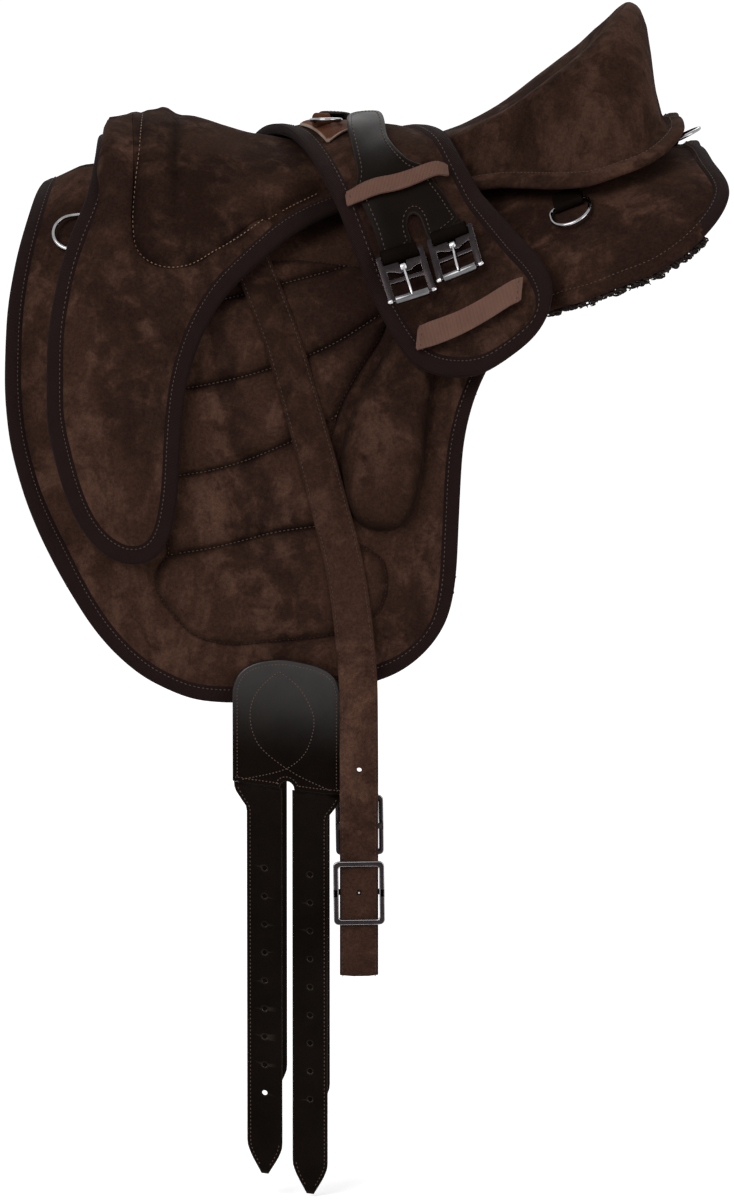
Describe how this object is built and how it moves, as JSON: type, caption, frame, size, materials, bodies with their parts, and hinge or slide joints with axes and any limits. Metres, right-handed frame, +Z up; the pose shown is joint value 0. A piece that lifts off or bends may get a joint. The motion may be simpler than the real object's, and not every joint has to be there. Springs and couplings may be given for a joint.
{
  "type": "treeless saddle",
  "caption": "Treeless suede saddle with a dished seat, bound flaps, billets, stirrup leathers and a padded girth laid over the seat.",
  "frame": {"origin": "on the ridge of the back form under the middle of the saddle, where it sits on its rack", "axes": "+Z up; +X towards the cantle; near side at -Y"},
  "size_m": [0.5628, 0.4056, 0.9256],
  "materials": {
    "suede": "rough nap",
    "binding": "ribbed tape",
    "strap_leather": "satin",
    "russet_leather": "satin",
    "webbing": "ribbed webbing",
    "fleece": "curled pile",
    "nickel": "polished nickel"
  },
  "bodies": {
    "saddle": {"bar_webbing": "webbing", "billet_head_near": "strap_leather", "billet_head_off": "strap_leather", "crupper_loop": "strap_leather", "fleece_near": "fleece", "fleece_off": "fleece", "front_dee_loop_near": "strap_leather", "front_dee_loop_off": "strap_leather", "lobe_near": "suede", "lobe_off": "suede", "panel_binding_near": "binding", "panel_binding_off": "binding", "panel_near": "suede", "panel_off": "suede", "quilt_near": "suede", "quilt_off": "suede", "rear_dee_loop_near": "strap_leather", "rear_dee_loop_off": "strap_leather", "seat": "suede", "seat_binding_near": "binding", "seat_binding_off": "binding", "stirrup_bar_near": "nickel", "stirrup_bar_off": "nickel", "thigh_block_near": "suede", "thigh_block_off": "suede"},
    "stirrup_leather_near": {"stirrup_leather_near": "suede", "stirrup_buckle_near": "nickel"},
    "billet_front_near": {"billet_front_near": "strap_leather"},
    "billet_rear_near": {"billet_rear_near": "strap_leather"},
    "front_dee_near": {"front_dee_near": "nickel"},
    "rear_dee_near": {"rear_dee_near": "nickel"},
    "stirrup_leather_off": {"stirrup_leather_off": "suede", "stirrup_buckle_off": "nickel"},
    "billet_front_off": {"billet_front_off": "strap_leather"},
    "billet_rear_off": {"billet_rear_off": "strap_leather"},
    "front_dee_off": {"front_dee_off": "nickel"},
    "rear_dee_off": {"rear_dee_off": "nickel"},
    "crupper_dee": {"crupper_dee": "nickel"},
    "girth": {"girth_binding": "binding", "girth_centre_strap": "russet_leather", "girth_chape_near": "strap_leather", "girth_chape_off": "strap_leather", "girth_keeper_lower_near": "webbing", "girth_keeper_lower_off": "webbing", "girth_keeper_upper_near": "webbing", "girth_keeper_upper_off": "webbing", "girth_pad": "suede"},
    "girth_centre_dee": {"girth_centre_dee": "nickel"},
    "girth_buckle_front_near": {"girth_buckle_front_near": "nickel"},
    "girth_tongue_front_near": {"girth_tongue_front_near": "nickel"},
    "girth_roller_front_near": {"girth_roller_front_near": "nickel"},
    "girth_buckle_rear_near": {"girth_buckle_rear_near": "nickel"},
    "girth_tongue_rear_near": {"girth_tongue_rear_near": "nickel"},
    "girth_roller_rear_near": {"girth_roller_rear_near": "nickel"},
    "girth_buckle_front_off": {"girth_buckle_front_off": "nickel"},
    "girth_tongue_front_off": {"girth_tongue_front_off": "nickel"},
    "girth_roller_front_off": {"girth_roller_front_off": "nickel"},
    "girth_buckle_rear_off": {"girth_buckle_rear_off": "nickel"},
    "girth_tongue_rear_off": {"girth_tongue_rear_off": "nickel"},
    "girth_roller_rear_off": {"girth_roller_rear_off": "nickel"}
  },
  "joints": [
    {"name": "stirrup_leather_swing_near", "type": "hinge", "parent": "saddle", "child": "stirrup_leather_near", "pos_m": [-0.096, -0.05573, 0.02685], "axis": [-0.9855, 0, 0.1696], "range_deg": [0, 2.5]},
    {"name": "billet_front_near_swing", "type": "hinge", "parent": "saddle", "child": "billet_front_near", "pos_m": [-0.0663, -0.17612, -0.4386], "axis": [-0.9901, 0, 0.1407], "range_deg": [-25, 90]},
    {"name": "billet_rear_near_swing", "type": "hinge", "parent": "saddle", "child": "billet_rear_near", "pos_m": [-0.0309, -0.17612, -0.44381], "axis": [-0.9919, 0, 0.1268], "range_deg": [-25, 90]},
    {"name": "front_dee_lift_near", "type": "hinge", "parent": "saddle", "child": "front_dee_near", "pos_m": [-0.20482, -0.0988, -0.00928], "axis": [-0.0754, 0.6107, 0.7883], "range_deg": [0, 35]},
    {"name": "rear_dee_lift_near", "type": "hinge", "parent": "saddle", "child": "rear_dee_near", "pos_m": [0.17075, -0.12588, 0.01372], "axis": [-0.9239, 0.1113, -0.3662], "range_deg": [0, 45]},
    {"name": "stirrup_leather_swing_off", "type": "hinge", "parent": "saddle", "child": "stirrup_leather_off", "pos_m": [-0.096, 0.05573, 0.02685], "axis": [0.9855, 0, -0.1696], "range_deg": [0, 2.5]},
    {"name": "billet_front_off_swing", "type": "hinge", "parent": "saddle", "child": "billet_front_off", "pos_m": [-0.0663, 0.17612, -0.4386], "axis": [0.9901, 0, -0.1407], "range_deg": [-25, 90]},
    {"name": "billet_rear_off_swing", "type": "hinge", "parent": "saddle", "child": "billet_rear_off", "pos_m": [-0.0309, 0.17612, -0.44381], "axis": [0.9919, 0, -0.1268], "range_deg": [-25, 90]},
    {"name": "front_dee_lift_off", "type": "hinge", "parent": "saddle", "child": "front_dee_off", "pos_m": [-0.20482, 0.0988, -0.00928], "axis": [0.0754, 0.6107, -0.7883], "range_deg": [0, 35]},
    {"name": "rear_dee_lift_off", "type": "hinge", "parent": "saddle", "child": "rear_dee_off", "pos_m": [0.17075, 0.12588, 0.01372], "axis": [0.9239, 0.1113, 0.3662], "range_deg": [0, 45]},
    {"name": "crupper_dee_lift", "type": "hinge", "parent": "saddle", "child": "crupper_dee", "pos_m": [0.25701, 0, 0.05636], "axis": [0, -1, 0], "range_deg": [0, 35]},
    {"name": "girth_lift_off", "type": "slide", "parent": "saddle", "child": "girth", "axis": [0, 0, 1], "range_m": [0, 0.3]},
    {"name": "girth_centre_dee_lift", "type": "hinge", "parent": "girth", "child": "girth_centre_dee", "pos_m": [-0.02247, -0.02456, 0.07366], "axis": [-0.8758, -0.4815, 0.0336], "range_deg": [0, 60]},
    {"name": "girth_buckle_swing_front_near", "type": "hinge", "parent": "girth", "child": "girth_buckle_front_near", "pos_m": [0.03862, -0.14708, -0.02365], "axis": [-0.9591, -0.0476, -0.2792], "range_deg": [0, 80]},
    {"name": "girth_tongue_swing_front_near", "type": "hinge", "parent": "girth_buckle_front_near", "child": "girth_tongue_front_near", "pos_m": [0.04181, -0.15347, -0.03354], "axis": [-0.9591, -0.0476, -0.2792], "range_deg": [0, 100]},
    {"name": "girth_roller_turn_front_near", "type": "hinge", "parent": "girth_buckle_front_near", "child": "girth_roller_front_near", "pos_m": [0.04873, -0.1673, -0.05494], "axis": [-0.9591, -0.0476, -0.2792], "continuous": true},
    {"name": "girth_buckle_swing_rear_near", "type": "hinge", "parent": "girth", "child": "girth_buckle_rear_near", "pos_m": [0.07761, -0.14606, -0.00795], "axis": [-0.9177, 0.1327, -0.3744], "range_deg": [0, 80]},
    {"name": "girth_tongue_swing_rear_near", "type": "hinge", "parent": "girth_buckle_rear_near", "child": "girth_tongue_rear_near", "pos_m": [0.08015, -0.1539, -0.01694], "axis": [-0.9177, 0.1327, -0.3744], "range_deg": [0, 100]},
    {"name": "girth_roller_turn_rear_near", "type": "hinge", "parent": "girth_buckle_rear_near", "child": "girth_roller_rear_near", "pos_m": [0.08563, -0.17088, -0.0364], "axis": [-0.9177, 0.1327, -0.3744], "continuous": true},
    {"name": "girth_buckle_swing_front_off", "type": "hinge", "parent": "girth", "child": "girth_buckle_front_off", "pos_m": [-0.03564, 0.15316, -0.01868], "axis": [0.9647, 0.0722, -0.2531], "range_deg": [0, 80]},
    {"name": "girth_tongue_swing_front_off", "type": "hinge", "parent": "girth_buckle_front_off", "child": "girth_tongue_front_off", "pos_m": [-0.03873, 0.15943, -0.02868], "axis": [0.9647, 0.0722, -0.2531], "range_deg": [0, 100]},
    {"name": "girth_roller_turn_front_off", "type": "hinge", "parent": "girth_buckle_front_off", "child": "girth_roller_front_off", "pos_m": [-0.04543, 0.173, -0.05032], "axis": [0.9647, 0.0722, -0.2531], "continuous": true},
    {"name": "girth_buckle_swing_rear_off", "type": "hinge", "parent": "girth", "child": "girth_buckle_rear_off", "pos_m": [-0.08064, 0.15139, -0.00978], "axis": [0.9595, 0.0742, -0.2719], "range_deg": [0, 80]},
    {"name": "girth_tongue_swing_rear_off", "type": "hinge", "parent": "girth_buckle_rear_off", "child": "girth_tongue_rear_off", "pos_m": [-0.08392, 0.15784, -0.0196], "axis": [0.9595, 0.0742, -0.2719], "range_deg": [0, 100]},
    {"name": "girth_roller_turn_rear_off", "type": "hinge", "parent": "girth_buckle_rear_off", "child": "girth_roller_rear_off", "pos_m": [-0.09102, 0.17178, -0.04087], "axis": [0.9595, 0.0742, -0.2719], "continuous": true}
  ]
}
